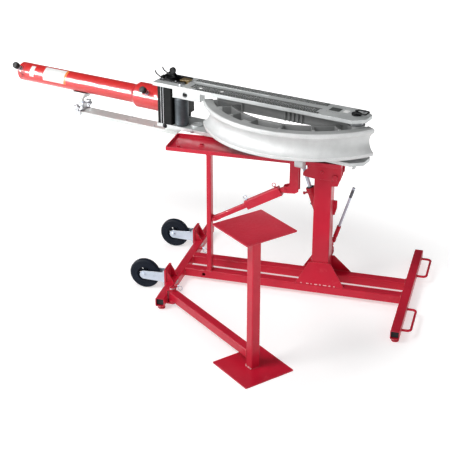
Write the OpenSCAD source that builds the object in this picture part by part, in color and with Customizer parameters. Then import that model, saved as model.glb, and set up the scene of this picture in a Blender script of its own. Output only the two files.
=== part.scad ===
// Hydraulic pipe bender on a tilting table with a pump stand.
// Millimetres. X runs along the base rails, Y goes away from the viewer, Z is up, floor at 0.

/* [Base] */
// length of the front and rear rails between the crossbars
rail_len = 1270; // [1200:10:1300]
// side of the square crossbar tube
tube = 51; // [48:0.5:54]
// length of each crossbar
cross_len = 1004; // [960:4:1100]
// wall of the square tubes
tube_wall = 4; // [3:0.5:6]
// depth of each rail tube
rail_w = 59; // [56:1:62]

/* [Wheels] */
// outside diameter of the caster wheels
wheel_d = 178; // [170:1:179]
// width of the caster tyres
wheel_w = 38; // [32:1:40]

/* [Pump stand] */
// side of the square top and base plates
stand_plate = 300; // [240:5:330]
// height of the pump shelf above the floor
stand_h = 801; // [740:1:801]

/* [Table] */
// length of the lipped table tray
tray_len = 1005; // [980:1:1010]
// height of the tray lip
tray_lip = 22; // [16:1:22]

/* [Bender] */
// pipe outside diameter the groove is cut for
groove_d = 120; // [90:1:124]
// outside diameter of the ram barrel
barrel_d = 114; // [100:1:116]
// diameter of the pipe roller
roller_d = 80; // [60:1:82]
// diameter of the ram rod
rod_d = 54; // [40:1:56]

/* [Hidden] */
eps = 0.01;
ox = 592.39; oy = 259.15;      // puts the middle of the whole machine over the origin
zc = 22;                     // underside of the base tubes
zt = zc + tube;              // top of the base tubes
xc = rail_len/2;             // inner face of a crossbar
hy1 = -310; hy2 = 190;       // hitch pins on the left crossbar
yr = 51;                     // inner face of a rail
ped_x0 = 107; ped_w = 98;    // pedestal, left face and width
ped_top = 780;
hx = 225; hz = 729;          // tilt pin
sx = -458; sz = 408; sy = -82.5;   // strut, lower pin and plane
ang_s = 29.72;               // strut slope at rest
Ls = 472;                    // strut, pin to pin at rest
jx = 190; jz = 215; jy = 88; // jack, lower pin and plane
ang_j = 19.3;                // jack lean at rest
Lj = 544.6;                  // jack, pin to pin at rest
lx = 199.5; lz = 255; ly = 133;      // lever pin
ang_l = 16.73;
px = -606; py = -436;        // pump stand hinge
arm_a = -39.8;               // direction of the arm
arm_l = 777;                 // hinge to column centre
tz0 = 807;                   // tray underside
tx1 = 265;                   // tray right end
ty = 112;                    // half depth of the tray
fx = -104; fa = -14.75;      // bender frame origin and turn
z0 = 836; th = 20; z1 = 1081; // lower plate underside, plate thickness, upper plate underside
na = -29; nb = 158;          // near and far plate edges
rn = 92; rz = 958;           // ram axis
cs = 8; cn = 340; sr = 612;  // shoe centre and radius
shz = 971; shh = 156;        // shoe mid height and height
ps = 425; pn = 65;           // shoe pin
bs = -798;                   // left face of the ram block
rs = -652; rln = 11;         // roller axis
ws = -1428;                  // saddle position along the ram

// ---- helpers ----
module rsq(w, h, r) { // rounded rectangle, centred
  union() {
    square([w - 2*r, h], center = true);
    square([w, h - 2*r], center = true);
    for (x = [-1, 1], y = [-1, 1]) translate([x*(w/2 - r), y*(h/2 - r)]) circle(r = r, $fn = 32);
  }
}
module tube_z(w, h, t, l) { linear_extrude(l) difference() { rsq(w, h, 6); rsq(w - 2*t, h - 2*t, 3); } }
module tube_y(w, h, t, l) { translate([0, l/2, 0]) rotate([90, 0, 0]) tube_z(w, h, t, l); }
module tube_x(w, h, t, l) { translate([-l/2, 0, 0]) rotate([90, 0, 90]) tube_z(w, h, t, l); }
module cyl_y(r, l) { rotate([90, 0, 0]) cylinder(r = r, h = l, center = true, $fn = 48); }
module cyl_x(r, l) { rotate([0, 90, 0]) cylinder(r = r, h = l, center = true, $fn = 48); }
module cz(x, y, za, zb, r) { translate([x, y, za]) cylinder(r = r, h = zb - za, $fn = 48); }
module xz(y0, t) { translate([0, y0 + t, 0]) rotate([90, 0, 0]) linear_extrude(t) children(); } // 2-D x,z -> plate
module hexb(r, h) { cylinder(r = r, h = h, $fn = 6); }
module place() { translate([ox, oy, 0]) children(); }
module bender() { translate([fx, 0, 0]) rotate([0, 0, fa]) children(); }
red = [0.72, 0.08, 0.11]; alu = [0.82, 0.83, 0.84]; blk = [0.07, 0.07, 0.08]; zinc = [0.68, 0.73, 0.78]; steel = [0.55, 0.57, 0.6];

// ---- base ----
module crossbar(x) { translate([x, 0, zc + tube/2]) tube_y(tube, tube, tube_wall, cross_len); }
module crossbars() color(red) {
  for (x = [-xc - tube/2, xc + tube/2]) crossbar(x);
  for (y = [hy1, hy2]) translate([-xc + 9, y, 60]) difference() { cyl_x(9, 18); cyl_x(5.06, 30); } // hitch pin sockets
}
module rail(s) { translate([0, s*(yr + rail_w/2), zc + tube/2]) tube_x(rail_w, tube, tube_wall, rail_len); }
module long_rails() color(red) difference() {
  union() { rail(-1); rail(1); }
  translate([-521, -yr - rail_w, zc + tube/2 - 1]) cyl_y(10, 30);
}
module pedestal_column() color(red) {
  translate([ped_x0 + ped_w/2, 0, zc]) tube_z(ped_w, 2*yr, 6, ped_top - zc - 6);
  translate([ped_x0, -yr, ped_top - 6]) cube([ped_w, 2*yr, 6]);
}
module gusset_plate() { // leans from the rail's outer top edge to the pedestal
  h = sqrt(124*124 + 54*54);
  translate([0, -yr - 54, zt]) rotate([-atan2(54, 124), 0, 0])
    xz(-5, 5) polygon([[26, -8], [316, -8], [209, h + 8], [103, h + 8]]);
}
module gusset_pair() difference() {
  gusset_plate();
  translate([0, -yr, 0]) cube([400, 200, 400]);
  translate([0, -300, 0]) cube([400, 400, zt]);
  translate([0, -200, 191.5]) cube([400, 400, 100]);
}
module ear2d() { union() { polygon([[205, 667], [238, 671], [252, 712], [252, 729], [225, 752], [205, 752]]); translate([hx, hz]) circle(r = 27, $fn = 48); } }
module hinge_ears() difference() {
  for (s = [-1, 1]) xz(s*40 - 5, 10) intersection() { ear2d(); translate([205, 600]) square([100, 200]); }
  translate([hx, 0, hz]) cyl_y(10.05, 200);
}
module rear_lug() translate([ped_x0 + ped_w + 12, yr - 8, 0])
  xz(0, 6) polygon([[-12, 455], [-4, 455], [8, 500], [8, 545], [-12, 545]]);
module pedestal_brackets() color(red) { gusset_pair(); mirror([0, 1, 0]) gusset_pair(); hinge_ears(); rear_lug(); }
module foot(x, y) { cz(x, y, 0, 6, 21); cz(x, y, 6, zc, 12); }
module crossbar_feet() color(red) for (x = [-xc - tube/2, xc + tube/2], y = [-470, 470]) foot(x, y);
module elbow(r, br, s) { // quarter bend, a hair fatter than the rod so that the straight ends sit inside it
  rotate([0, 0, s > 0 ? 0 : -90]) rotate_extrude(angle = 90, $fn = 64) translate([br, 0]) circle(r = r + 0.2, $fn = 24);
}
module rod_loop(l, d, r, br) { // flat U loop: legs along +X, length l along Y
  for (s = [-1, 1]) {
    translate([(d - br + 0.6)/2, s*l/2, 0]) cyl_x(r, d - br + 0.6);
    translate([d - br, s*(l/2 - br), 0]) elbow(r, br, s);
  }
  translate([d, 0, 0]) cyl_y(r, l - 2*br + 1.2);
}
module lift_handles() color(red) {
  translate([xc + tube, 320, 48]) rod_loop(228, 55, 7, 22);
  translate([xc + tube, -318, 48]) rod_loop(234, 50, 7, 22);
}

// ---- casters ----
cyn = -258; cyf = 300; cwx = -829; cwz = 90;
module caster_plate(y) {
  translate([-xc - tube - 12, y - 50, 46]) cube([12, 100, 102]);
  for (s = [-1, 1]) xz(y + s*40 - 3, 6) polygon([[-xc - tube, zt], [-xc - 8, zt], [-xc - tube, 146]]);
}
module caster_plates() color(red) difference() {
  for (y = [cyn, cyf]) caster_plate(y);
  for (y = [cyn, cyf], a = [-38, 38], z = [-32, 32]) translate([-xc - tube - 6, y + a, 97 + z]) cyl_x(4.2, 40);
}
module caster_fork(y) {
  x1 = -xc - tube - 12;
  difference() {
    union() {
      translate([x1 - 5, y - 46, 52]) cube([5, 92, 90]);
      for (s = [-1, 1]) {
        xz(y + s*26 - 2.5, 5) union() {
          polygon([[cwx, cwz - 25], [x1 - 4, cwz - 30], [x1 - 4, cwz + 30], [cwx, cwz + 25]]);
          translate([cwx, cwz]) circle(r = 25, $fn = 48);
        }
      }
    }
    translate([cwx, y, cwz]) cyl_y(6.05, 90);
    for (a = [-38, 38], z = [-32, 32]) translate([x1 - 2, y + a, 97 + z]) cyl_x(4.2, 40);
  }
  // mounting bolts with nuts
  for (a = [-38, 38], z = [-32, 32]) {
    translate([x1 - 5, y + a, 97 + z]) rotate([0, -90, 0]) hexb(7, 5);
    translate([x1, y + a, 97 + z]) cyl_x(3.9, 20);
  }
}
module caster_forks() color(zinc) for (y = [cyn, cyf]) caster_fork(y);
module caster_axles() color(steel) for (y = [cyn, cyf]) translate([cwx, y, cwz]) {
  cyl_y(6, 72);
  translate([0, -28.6, 0]) rotate([90, 0, 0]) hexb(9.5, 6);
  translate([0, 28.6, 0]) rotate([-90, 0, 0]) hexb(9.5, 7);
}
module tyre(y) translate([cwx, y, cwz]) rotate([90, 0, 0]) rotate_extrude($fn = 96) {
  difference() {
    union() {
      translate([52, -wheel_w/2 + 2]) square([wheel_d/2 - 52 - 8, wheel_w - 4]);
      translate([wheel_d/2 - 10, -wheel_w/2 + 10]) square([10, wheel_w - 20]);
      for (s = [-1, 1]) translate([wheel_d/2 - 10, s*(wheel_w/2 - 10 - 2)]) circle(r = 10, $fn = 32);
      translate([wheel_d/2 - 14, -wheel_w/2 + 2]) square([6, wheel_w - 4]);
    }
    translate([wheel_d/2, -30]) square([30, 60]);
  }
}
module hub(y) translate([cwx, y, cwz]) rotate([90, 0, 0]) difference() {
  rotate_extrude($fn = 96) {
    translate([6.06, -22]) square([12, 44]);
    translate([16, -6]) square([30, 12]);
    translate([42, -17]) square([10, 34]);
  }
  for (a = [0:60:300]) rotate([0, 0, a]) translate([30, 0, -20]) cylinder(r = 7, h = 40, $fn = 32);
}
module near_wheel() color(blk) { tyre(cyn); hub(cyn); }
module far_wheel() color(blk) { tyre(cyf); hub(cyf); }
module hitch(y) { // pin with a pull ring
  translate([-xc + 16, y, 60]) cyl_x(5, 30);
  translate([-xc + 21, y, 60]) cyl_x(8, 4);
  translate([-xc + 34, y, 47]) rotate([90, 0, 0]) rotate_extrude($fn = 48) translate([13, 0]) circle(r = 2, $fn = 16);
}
module near_hitch_pin() color(steel) hitch(hy1);
module far_hitch_pin() color(steel) hitch(hy2);

// ---- post, strut lug ----
module table_post() color(red) {
  translate([-488.5, sy, zt]) tube_z(27, 51, 3, tz0 - 0.4 - zt - 5);
  translate([-502, sy - 25.5, tz0 - 5.4]) cube([27, 51, 5]);
  difference() {
    xz(sy - 5, 10) union() {
      polygon([[-475, 384], [sx - 2, 392], [sx - 2, 424], [-475, 432]]);
      translate([sx, sz]) circle(r = 16, $fn = 48);
    }
    translate([sx, sy, sz]) cyl_y(6.05, 60);
  }
  translate([sx, sy, sz]) cyl_y(6, 44);
  for (s = [-1, 1]) translate([sx, sy + s*20.5, sz]) cyl_y(10, 3);
}

// ---- stand ----
module stand_hinge_lugs() color(red) {
  difference() {
    union() {
      for (z = [22, 104]) {
        cz(px, py, z, z + 8, 22);
        translate([-xc, py - 22, z]) cube([29, 44, 8]);
      }
      translate([-xc, py - 22, 22]) cube([5, 44, 90]);
    }
    cz(px, py, 0, 200, 12);
  }
}
module stand_hinge_pin() color(steel) { cz(px, py, 15, 112, 12); cz(px, py, 112, 118, 17); cz(px, py, 12, 15, 9); }
module at_stand() { translate([px, py, 0]) rotate([0, 0, arm_a]) children(); }
module stand_arm() color(red) at_stand() {
  difference() {
    union() { cz(0, 0, 31, 103, 22); translate([(arm_l - 25.5 + 14)/2, 0, 74.5]) tube_x(tube, tube, tube_wall, arm_l - 25.5 - 14); }
    cz(0, 0, 0, 200, 12.06);
  }
}
module stand_column() color(red) at_stand() translate([arm_l, 0, 6]) tube_z(tube, tube, tube_wall, stand_h - 12);
module stand_plates() color(red) at_stand() for (z = [0, stand_h - 6]) translate([arm_l, 0, z]) linear_extrude(6) rsq(stand_plate, stand_plate, 5);

// ---- jack ----
module at_jack() { translate([jx, jy, jz]) rotate([0, -ang_j, 0]) children(); }
module jack_base_ears() color(red) {
  difference() {
    for (s = [-1, 1]) xz(jy + s*17 - 3, 6) union() {
      polygon([[168, 196], [206, 196], [206, 215], [174, 215]]);
      translate([jx, jz]) circle(r = 16, $fn = 48);
    }
    translate([jx, jy, jz]) cyl_y(8.05, 90);
    translate([100, 0, 150]) cube([200, 200, 43]);
  }
  translate([162, yr, 192]) cube([46, jy - yr + 20, 7]);
  translate([jx, jy, jz]) cyl_y(8, 50);
  for (s = [-1, 1]) translate([jx, jy + s*24, jz]) cyl_y(12, 4);
}
module jack_cylinder() {
  difference() {
    union() {
      translate([0, 0, 12]) cylinder(r = 13, h = 14, $fn = 48);
      cyl_y(14, 26);
      translate([0, 0, 24]) cylinder(r = 27, h = 26, $fn = 64);
      translate([0, 0, 50]) cylinder(r = 24, h = 330, $fn = 64);
      translate([0, 0, 380]) cylinder(r = 27, h = 18, $fn = 64);
      translate([-33, 0, 372]) cyl_x(6, 22);
      translate([-46, 0, 372]) cyl_x(9, 8);
    }
    cyl_y(8.06, 60);
    translate([0, 0, 60]) cylinder(r = 11.4, h = 400, $fn = 48);
  }
}
module jack_pump() {
  difference() {
    union() {
      translate([-22, 16, 22]) cube([28, 42, 26]);
      for (y = [31.5, 53.5]) xz(y, 5) union() { translate([22.2, 34.6]) circle(r = 13, $fn = 48); translate([0, 24]) square([22.2, 23]); }
    }
    translate([0, 0, -50]) cylinder(r = 27, h = 300, $fn = 64);
    translate([-24, 40, 37]) cyl_x(4.06, 24);
  }
  translate([22.2, 45, 34.6]) cyl_y(6, 27);
  for (y = [29.5, 60.5]) translate([22.2, y, 34.6]) cyl_y(9, 4);
}
module jack_body() color(red) at_jack() { jack_cylinder(); jack_pump(); }
module jack_release_valve() color(steel) at_jack() translate([-24, 40, 37]) {
  cyl_x(4, 20);
  translate([-14, 0, 0]) difference() { cyl_x(8, 10); translate([-5, 0, 0]) cube([5, 3, 20], center = true); }
}
module jack_ram() color(zinc) at_jack() {
  translate([0, 0, 90]) cylinder(r = 11, h = Lj - 90 - 12, $fn = 48);
  translate([0, 0, Lj]) cyl_y(15, 22);
  translate([0, 0, Lj]) cyl_y(7, 30);
  translate([0, 0, Lj - 26]) cylinder(r = 14, h = 14, $fn = 48);
}
module at_lever() { translate([lx, ly, lz]) rotate([0, ang_l, 0]) children(); }
module jack_lever_socket() color(red) at_lever() difference() {
  union() {
    cyl_y(13, 12);
    translate([-9, -6, 0]) cube([18, 12, 28]);
    translate([0, 0, 22]) cylinder(r = 12.5, h = 74, $fn = 48);
  }
  cyl_y(6.06, 40);
  translate([0, 0, 40]) cylinder(r = 8, h = 80, $fn = 32);
}
module jack_lever() color(zinc) at_lever() {
  translate([0, 0, 40]) cylinder(r = 8, h = 306, $fn = 32);
  translate([0, 0, 346]) cylinder(r = 9, h = 10, $fn = 32);
}

// ---- strut ----
module at_strut() { translate([sx, sy, sz]) rotate([0, -ang_s, 0]) children(); } // +X along the strut
module strut_inner_tube() color(red) at_strut() {
  difference() {
    union() {
      translate([30 + 200, 0, 0]) tube_x(28, 28, 3, 400);
      translate([22, -14, -14]) cube([16, 28, 28]);
      for (s = [-1, 1]) xz(s*11.5 - 3, 6) union() { circle(r = 14, $fn = 48); translate([0, -14]) square([36, 28]); }
    }
    cyl_y(6.06, 60);
    for (x = [110:40:410]) translate([x, 0, 0]) cylinder(r = 5.5, h = 60, center = true, $fn = 32);
  }
}
module strut_outer_tube() color(red) at_strut() {
  difference() {
    union() {
      translate([215 + 110, 0, 0]) tube_x(38, 54, 4.6, 220);
      translate([435, -19, -27]) cube([5, 38, 54]);
      translate([436, -6, -14]) cube([36, 12, 28]);
      translate([Ls, 0, 0]) cyl_y(14, 12);
      translate([Ls, 0, 0]) cyl_y(9, 36);
    }
    translate([230, 0, 10]) cylinder(r = 5.06, h = 40, $fn = 32);
  }
  translate([421, 0, 25]) ring_pin(); // fixed pull ring
}
module ring_pin() {
  cylinder(r = 5, h = 12, $fn = 32);
  translate([0, 0, 2.3]) cylinder(r = 8, h = 3, $fn = 32);
  translate([0, 0, 21]) rotate([90, 0, 0]) rotate_extrude($fn = 48) translate([10.5, 0]) circle(r = 2, $fn = 16);
}
module strut_lock_pin() color(steel) at_strut() translate([230, 0, 0]) { translate([0, 0, 23]) cylinder(r = 5, h = 4, $fn = 32); translate([0, 0, 25]) ring_pin(); }
ux = sx + Ls*cos(ang_s); uz = sz + Ls*sin(ang_s);
module strut_bracket() {
  difference() {
    union() {
      for (s = [-1, 1]) xz(sy + s*23 - 3, 6) union() {
        polygon([[-21, tz0], [-21, 670], [ux - 12, uz + 14], [ux - 14, uz - 12], [ux + 2, uz - 17], [10, 628], [30, 640], [30, tz0]]);
        translate([ux, uz]) circle(r = 17, $fn = 48);
      }
    }
    translate([ux, sy, uz]) cyl_y(6, 100);
  }
  for (s = [-1, 1]) translate([ux, sy + s*24.5, uz]) { cyl_y(6, 9); translate([0, s*4.5, 0]) cyl_y(10, 4); }
}

// ---- table ----
module table_tray() color(red) difference() {
  translate([tx1 - tray_len, -ty, tz0]) linear_extrude(tray_lip) translate([tray_len/2, ty]) rsq(tray_len, 2*ty, 6);
  translate([tx1 - tray_len + 6, -ty + 6, tz0 + 6]) cube([tray_len - 12, 2*ty - 12, 40]);
}
module bracket2d() { union() {
  polygon([[44, 723], [44, 741], [104, tz0], [tx1 - 3, tz0], [257, 724], [240, 706], [99, 711], [62, 718]]);
  translate([hx, hz]) circle(r = 25, $fn = 48);
} }
module hinge_bracket() color(red) {
  difference() {
    for (s = [-1, 1]) xz(s*56 - 4, 8) bracket2d();
    translate([hx, 0, hz]) cyl_y(10.05, 200);
  }
  for (s = [-1, 1]) translate([151, s*60, 754]) rotate([s < 0 ? 90 : -90, 0, 0]) hexb(9, 6);
}
module hinge_pin() color(steel) {
  translate([hx, 0, hz]) cyl_y(10, 128);
  for (s = [-1, 1]) translate([hx, s*66, hz]) cyl_y(15, 5);
}
jux = jx - Lj*sin(ang_j); juz = jz + Lj*cos(ang_j);
module jack_bracket() {
  difference() {
    for (s = [-1, 1]) xz(jy + s*19.5 - 2.5, 5) union() {
      polygon([[-12, tz0], [jux - 20, juz - 2], [jux + 14, juz - 16], [80, tz0]]);
      translate([jux, juz]) circle(r = 20, $fn = 48);
    }
    translate([jux, jy, juz]) cyl_y(7, 100);
  }
  for (s = [-1, 1]) translate([jux, jy + s*20.5, juz]) { cyl_y(7, 7); translate([0, s*5, 0]) cyl_y(12, 4); }
}
module table_brackets() color(red) { strut_bracket(); jack_bracket(); }
module tbolt(x, y) { cz(x, y, tz0 + 6, tz0 + 9, 20); translate([x, y, tz0 + 9]) hexb(12, 9); }
module table_bolts() color(steel) { tbolt(-561, 4); tbolt(-680, -60); tbolt(40, 80); tbolt(225, -82); }

// ---- bender frame (own frame: s along X, n along Y) ----
module plate2d(s0) { polygon([[s0, na], [440, na], [500, na + 54], [500, nb - 54], [440, nb], [s0, nb]]); }
module frame_lower_plate() color(alu) bender() {
  difference() {
    translate([0, 0, z0]) linear_extrude(th) plate2d(bs - 2);
    cz(ps, pn, 0, 2000, 20.05);
    cz(rs, rln, 0, 2000, 12);
    translate([-745, na, z0 + th/2]) cyl_y(6, 30);
    translate([-560, na, z0 + th/2]) cyl_y(6, 30);
  }
  for (p = [[-300, -2], [-60, 62], [250, 62]]) cz(p[0], p[1], z0 - 23, z0, 28);
  // arm with a bolt eye that reaches out past the tray's front lip
  translate([150, 0, 0]) rotate([90, 0, 90]) linear_extrude(50) difference() {
    union() {
      polygon([[na, 838], [na, 852], [-100, 852], [-113, 842], [-113, 818], [-77, 818], [-77, 838]]);
      translate([-95, 818]) circle(r = 18, $fn = 48);
    }
    translate([-95, 818]) circle(r = 5, $fn = 32);
  }
  // latch hook at the nose
  translate([452, na + 12, z0 - 14]) cube([10, 26, 14]);
  translate([452, na + 6, z0 - 14]) cube([10, 10, 8]);
}
module frame_upper_plate() color(alu) bender() {
  difference() {
    translate([0, 0, z1]) linear_extrude(th) plate2d(bs - 27);
    cz(ps, pn, 0, 2000, 20.05);
    cz(rs, rln, 0, 2000, 12);
    translate([-806, 28, z1 - 5]) cube([176, 98, 60]);
    translate([-640, rn - 8, z1 - 5]) cube([510, 16, 60]);
    translate([-130, rn, z1 - 5]) cylinder(r = 8, h = 60, $fn = 32);
  }
}
module frame_spacers() color(alu) bender() for (p = [[-684, 143], [-338, 140]]) cz(p[0], p[1], z0 + th, z1, 11);
module ram_mount_block() color(blk) bender() difference() {
  translate([bs, na + 3, z0 + th]) linear_extrude(z1 - z0 - th) translate([50, (nb - na - 6)/2]) rsq(100, nb - na - 6, 10);
  translate([bs + 54, rn, rz]) cyl_x(rod_d/2 + 0.4, 200);
  translate([bs + 26, na + 3, 840]) cylinder(r = 4, h = 400, $fn = 32);
  translate([bs + 42, na + 3, 840]) cylinder(r = 4, h = 400, $fn = 32);
}
ry1 = 1031;
module roller_yoke() color(alu) bender() {
  difference() {
    translate([-688, na, ry1]) linear_extrude(z1 - ry1) union() { square([185, 50]); translate([14, 0]) square([157, 64]); translate([14, 50]) circle(r = 14, $fn = 32); translate([171, 50]) circle(r = 14, $fn = 32); }
    cz(rs, rln, 0, 2000, 12);
    translate([-604, na, 1058]) rotate([90, 0, 0]) cylinder(r = 16, h = 28, center = true, $fn = 48);
  }
  translate([-604, na + 14, 1058]) rotate([90, 0, 0]) difference() { cylinder(r = 12, h = 9, $fn = 48); translate([0, 0, 4]) cylinder(r = 5, h = 9, $fn = 6); }
  difference() { cz(-572, 48, z0 + th, z0 + th + 9, 36); cz(-572, 48, z0 + th + 4, z0 + th + 20, 22); }
}
module pipe_roller() color([0.27, 0.3, 0.32]) bender() translate([rs, rln, z0 + th + 2]) difference() {
  h = ry1 - z0 - th - 4;
  rotate_extrude($fn = 96) {
    translate([12.08, 0]) square([roller_d/2 - 18, h]);
    polygon([[14, 2], [roller_d/2 - 6, 0], [roller_d/2, 8], [roller_d/2, h - 8], [roller_d/2 - 6, h], [14, h - 2]]);
  }
}
module roller_pin() color(steel) bender() { cz(rs, rln, z0 + 2, z1 + th, 12); cz(rs, rln, z1 + th, z1 + th + 8, 19); }
module frame_lock_pin() color(blk) bender() translate([ps, pn, 0]) {
  cz(0, 0, z0 + 1, z1 + th + 14, 20);
  cz(0, 0, z1 + th + 0.6, z1 + th + 10, 27);
  // bail handle lying towards the nose
  translate([0, 0, z1 + th + 20]) {
    for (s = [-1, 1]) translate([28.2, s*26, 0]) cyl_x(4, 56.4);
    for (s = [-1, 1]) translate([56, s*18, 0]) elbow(4, 8, s);
    translate([64, 0, 0]) cyl_y(4, 36.8);
    cyl_y(4, 52);
    for (s = [-1, 1]) translate([0, s*26, 0]) sphere(r = 4.5, $fn = 32);
    translate([0, 0, -7.5]) cylinder(r = 9, h = 13.5, $fn = 32);
  }
}
module chart_strips() color([0.33, 0.35, 0.36]) bender() {
  translate([-585, 0, z1 + th]) cube([800, 52, 1.2]);
  translate([-615, 106, z1 + th]) cube([845, 44, 1.2]);
  translate([262, 58, z1 + th]) cube([62, 52, 1.2]);
}
module guide_block() color(blk) bender() {
  // frames the opening at the ram end of the upper plate
  translate([-804, 30, z1]) cube([60, 94, th + 12]);
  translate([-806, 20, z1 + th]) cube([128, 14, 8]);
  translate([-806, 118, z1 + th]) cube([156, 14, 8]);
  translate([-744, 34, z1 + 4]) cube([60, 12, th + 2]);
  translate([-744, 108, z1 + 4]) cube([84, 12, th]);
  for (n = [46, 108]) translate([-776, n, z1 + th + 12]) cylinder(r = 9, h = 9, $fn = 6);
  translate([-754, 80, z1 + th + 12]) { // round knob on the block
    cylinder(r = 9, h = 12, $fn = 32);
    translate([0, 0, 38]) cyl_y(18, 16);
    translate([-10, -7, 4]) cube([20, 14, 20]);
    translate([-16, 0, 11]) cyl_x(5, 52);
  }
}
module wire(l) { // a leg with a quarter-turn end
  cylinder(r = 3.5, h = l, $fn = 24);
  translate([0, 0, l]) rotate([90, 0, 0]) translate([-34, 0, 0]) rotate_extrude(angle = 50, $fn = 64) translate([34, 0]) circle(r = 3.6, $fn = 24);
}
module wire_springs() color(blk) bender() {
  for (n = [38, 116]) translate([-794, n, z1 + th + 4]) rotate([0, -62, 0]) mirror([1, 0, 0]) wire(42);
}

// ---- shoe ----
module at_shoe() { translate([cs, cn, shz]) children(); }
module wedge(a0, a1, r) { polygon([[0, 0], [r*sin(a0), -r*cos(a0)], [r*sin((2*a0 + a1)/3), -r*cos((2*a0 + a1)/3)], [r*sin((a0 + 2*a1)/3), -r*cos((a0 + 2*a1)/3)], [r*sin(a1), -r*cos(a1)]]); }
module bending_shoe() color(alu) bender() difference() {
  union() {
    // grooved rim
    at_shoe() rotate([0, 0, -90 - 55.5]) rotate_extrude(angle = 116.5, $fn = 256) difference() {
      polygon([[556, 2 - shh/2], [558, -shh/2], [sr - 8, -shh/2], [sr - 2.4, 2.4 - shh/2], [sr, 8 - shh/2], [sr, shh/2 - 8], [sr - 2.4, shh/2 - 2.4], [sr - 8, shh/2], [558, shh/2], [556, shh/2 - 2]]);
      translate([sr + 21, 0]) circle(r = groove_d/2, $fn = 96);
    }
    // web at mid height
    translate([0, 0, shz - 9]) linear_extrude(18) intersection() {
      translate([cs, cn]) wedge(-54, 60, 900);
      translate([cs, cn]) circle(r = 562, $fn = 128);
      translate([-429, -400]) square([960, 436]);
    }
    // short ribs between the rim and the inner ring, one of them running on to the back wall
    translate([0, 0, shz - shh/2 + 5]) linear_extrude(shh - 10) intersection() {
      translate([cs, cn]) circle(r = 562, $fn = 128);
      union() {
        translate([-428, 26]) square([166, 12]);
        for (a = [-27, 9.3, 28.8, 44]) translate([cs, cn]) rotate([0, 0, a]) translate([-7, -600]) square([14, 132]);
        translate([cs, cn]) rotate([0, 0, -42]) translate([-7, -600]) square([14, 600 - (cn - 32)/cos(42)]);
        translate([cs, cn]) rotate([0, 0, -13]) translate([-26, -600]) square([52, 132]);
        translate([cs, cn]) rotate([0, 0, -54.3]) translate([-7, -600]) square([14, 86]);
        translate([cs, cn]) rotate([0, 0, 56.6]) translate([-26, -600]) square([52, 80]);
      }
    }
    at_shoe() rotate([0, 0, -90 - 42]) rotate_extrude(angle = 95.5, $fn = 256) translate([462, -shh/2 + 4]) square([12, shh - 8]);
    translate([-424, 27, 1000]) cube([170, 9, 76]);
    // upper back wall with a few upright ribs, open below it
    translate([0, 0, 1005]) linear_extrude(71) { translate([-270, 27]) square([670, 10]); for (x = [12:26:116]) translate([x, 20]) square([9, 8]); translate([-262, 20]) square([10, 8]); }
    cz(ps, pn, shz - shh/2 - 1, shz + shh/2 + 1, 50);
  }
  cz(ps, pn, 0, 2000, 32);
}
module shoe_bushing() color([0.62, 0.5, 0.25]) bender() difference() {
  union() { cz(ps, pn, shz - shh/2 - 6, shz + shh/2 + 6, 32); cz(ps, pn, shz + shh/2 + 1, z1 - 0.5, 40); cz(ps, pn, z0 + th + 0.5, shz - shh/2 - 1, 40); }
  cz(ps, pn, 0, 2000, 20.08);
}
// ---- ram ----
c0 = -1019; r0 = -1904;
module ram_barrel() color(red) bender() translate([0, rn, rz]) rotate([0, 90, 0]) difference() {
  union() {
    translate([0, 0, r0 + 18]) cylinder(r = barrel_d/2, h = c0 - r0 - 18, $fn = 128);
    translate([0, 0, r0]) cylinder(r1 = barrel_d/2 - 14, r2 = barrel_d/2, h = 18, $fn = 128);
  }
  translate([0, 0, r0 + 40]) cylinder(r = barrel_d/2 - 12, h = 2000, $fn = 96);
}
module ram_collar() color(red) bender() translate([0, rn, rz]) rotate([0, 90, 0]) difference() {
  union() {
    translate([0, 0, c0 + 22]) cylinder(r = 76, h = bs - c0 - 22, $fn = 128);
    translate([0, 0, c0]) cylinder(r1 = barrel_d/2 + 6, r2 = 76, h = 22, $fn = 128);
  }
  translate([0, 0, c0 - 1]) cylinder(r = rod_d/2 + 0.4, h = 2000, $fn = 96);
}
module coupler(s, r) { // screwed in the front-top side, pointing forward and up
  translate([s, rn, rz]) rotate([55, 0, 0]) {
    translate([0, 0, r - 2]) cylinder(r = 15, h = 14, $fn = 6);
    translate([0, 0, r]) cylinder(r = 11, h = 52, $fn = 48);
    translate([0, 0, r + 24]) cylinder(r = 13.5, h = 12, $fn = 48);
  }
}
module ram_couplers() color(zinc) bender() { coupler(-1868, barrel_d/2); coupler(-905, 76); }

module cap(s, r) translate([s, rn, rz]) rotate([55, 0, 0]) translate([0, 0, r + 38]) difference() {
  union() { cylinder(r = 19, h = 26, $fn = 64); cylinder(r = 16, h = 32, $fn = 64); }
  translate([0, 0, -10]) cylinder(r = 11.4, h = 26, $fn = 48);
}
module rear_dust_cap() color(blk) bender() cap(-1868, barrel_d/2);
module front_dust_cap() color(blk) bender() cap(-905, 76);
module ram_rod() color([0.8, 0.82, 0.85]) bender() {
  translate([-1520, rn, rz]) rotate([0, 90, 0]) cylinder(r = rod_d/2, h = 826, $fn = 96);
  translate([-1560, rn, rz]) rotate([0, 90, 0]) cylinder(r = barrel_d/2 - 12.4, h = 40, $fn = 96); // piston
}
module crosshead() color(blk) bender() {
  translate([-694, rn - 30, rz - 46]) cube([58, 60, 104]);
  for (z = [rz - 58, rz + 58]) translate([-665, rn, z]) cylinder(r = 22, h = 24, center = true, $fn = 48);
}
module angle_pointer() color([0.72, 0.62, 0.42]) bender() {
  translate([-671, rn - 6, rz + 70]) cube([12, 12, z1 + th + 2 - rz - 70]);
  translate([-690, 56, z1 + th + 2]) linear_extrude(9) polygon([[0, 0], [54, 14], [54, 46], [0, 46]]);
}
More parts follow.
